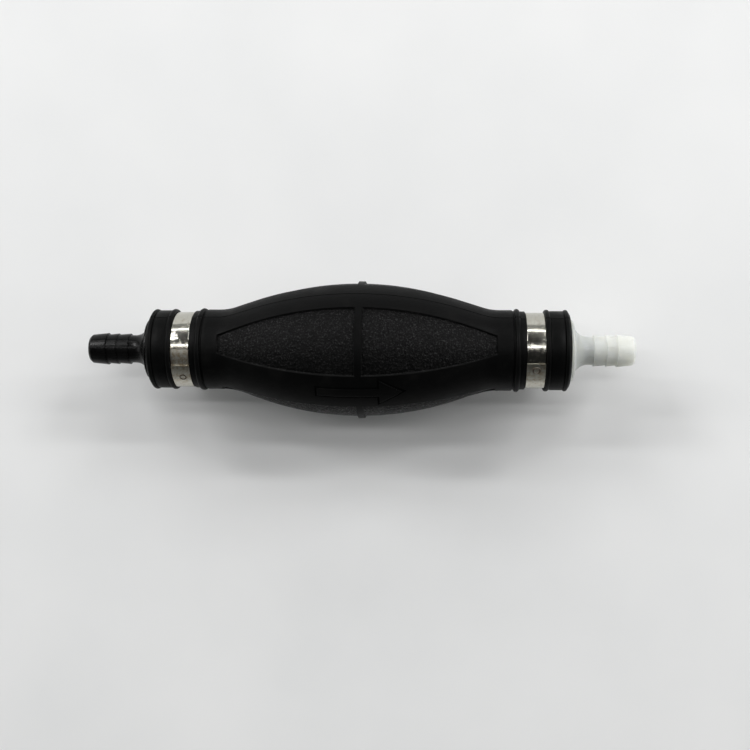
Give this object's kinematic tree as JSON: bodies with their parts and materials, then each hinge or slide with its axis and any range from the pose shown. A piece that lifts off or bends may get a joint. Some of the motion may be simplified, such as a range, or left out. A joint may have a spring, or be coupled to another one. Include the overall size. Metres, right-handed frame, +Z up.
{
  "type": "siphon bulb pump",
  "caption": "Hand-squeezed black rubber siphon bulb with a barbed hose fitting and one-way valve at each end, held by steel bands.",
  "frame": {"origin": "on the pump's long axis, midway between the two hose ends, which is the middle of the bulb", "axes": "+X along the flow, from the inlet fitting to the outlet fitting; +Z up as the pump lies on a table, +Y to the back"},
  "size_m": [0.194, 0.0484, 0.0484],
  "materials": {
    "bulb_rubber": "satin black moulded rubber, fine grain in the panels",
    "black_plastic": "gloss black moulded",
    "white_plastic": "natural white, slightly translucent",
    "band_steel": "bright rolled stainless strip",
    "spring_steel": "bright drawn wire",
    "valve_plastic": "plain moulded",
    "seal_rubber": "matt soft rubber"
  },
  "bodies": {
    "pump_body": {"bulb": "bulb_rubber", "inlet_fitting": "black_plastic", "outlet_fitting": "white_plastic", "inlet_clamp": "band_steel", "outlet_clamp": "band_steel", "inlet_valve_seat": "valve_plastic", "inlet_valve_spring": "spring_steel", "inlet_valve_cage": "valve_plastic", "outlet_valve_seat": "valve_plastic", "outlet_valve_spring": "spring_steel", "outlet_valve_cage": "valve_plastic"},
    "squeeze_back": {"bulb_squeeze_wall_back": "bulb_rubber"},
    "squeeze_front": {"bulb_squeeze_wall_front": "bulb_rubber"},
    "inlet_poppet": {"inlet_valve_poppet": "valve_plastic", "inlet_valve_seal": "seal_rubber"},
    "outlet_poppet": {"outlet_valve_poppet": "valve_plastic", "outlet_valve_seal": "seal_rubber"}
  },
  "joints": [
    {"name": "bulb_squeeze", "type": "slide", "parent": "pump_body", "child": "squeeze_back", "axis": [0, -0.9724, 0.2334], "range_m": [0, 0.012], "stiffness_N_per_m": 1500},
    {"name": "bulb_squeeze_front", "type": "slide", "parent": "pump_body", "child": "squeeze_front", "axis": [0, 0.9724, -0.2334], "range_m": [0, 0.012], "stiffness_N_per_m": 1500},
    {"name": "inlet_valve_lift", "type": "slide", "parent": "pump_body", "child": "inlet_poppet", "axis": [1, 0, 0], "range_m": [0, 0.002], "stiffness_N_per_m": 60, "springref_m": -0.002, "deforming": ["inlet_valve_spring"]},
    {"name": "outlet_valve_lift", "type": "slide", "parent": "pump_body", "child": "outlet_poppet", "axis": [1, 0, 0], "range_m": [0, 0.002], "stiffness_N_per_m": 60, "springref_m": -0.002, "deforming": ["outlet_valve_spring"]}
  ],
  "couplings": [
    {"joint": "bulb_squeeze_front", "follows": "bulb_squeeze", "ratio": 1}
  ]
}
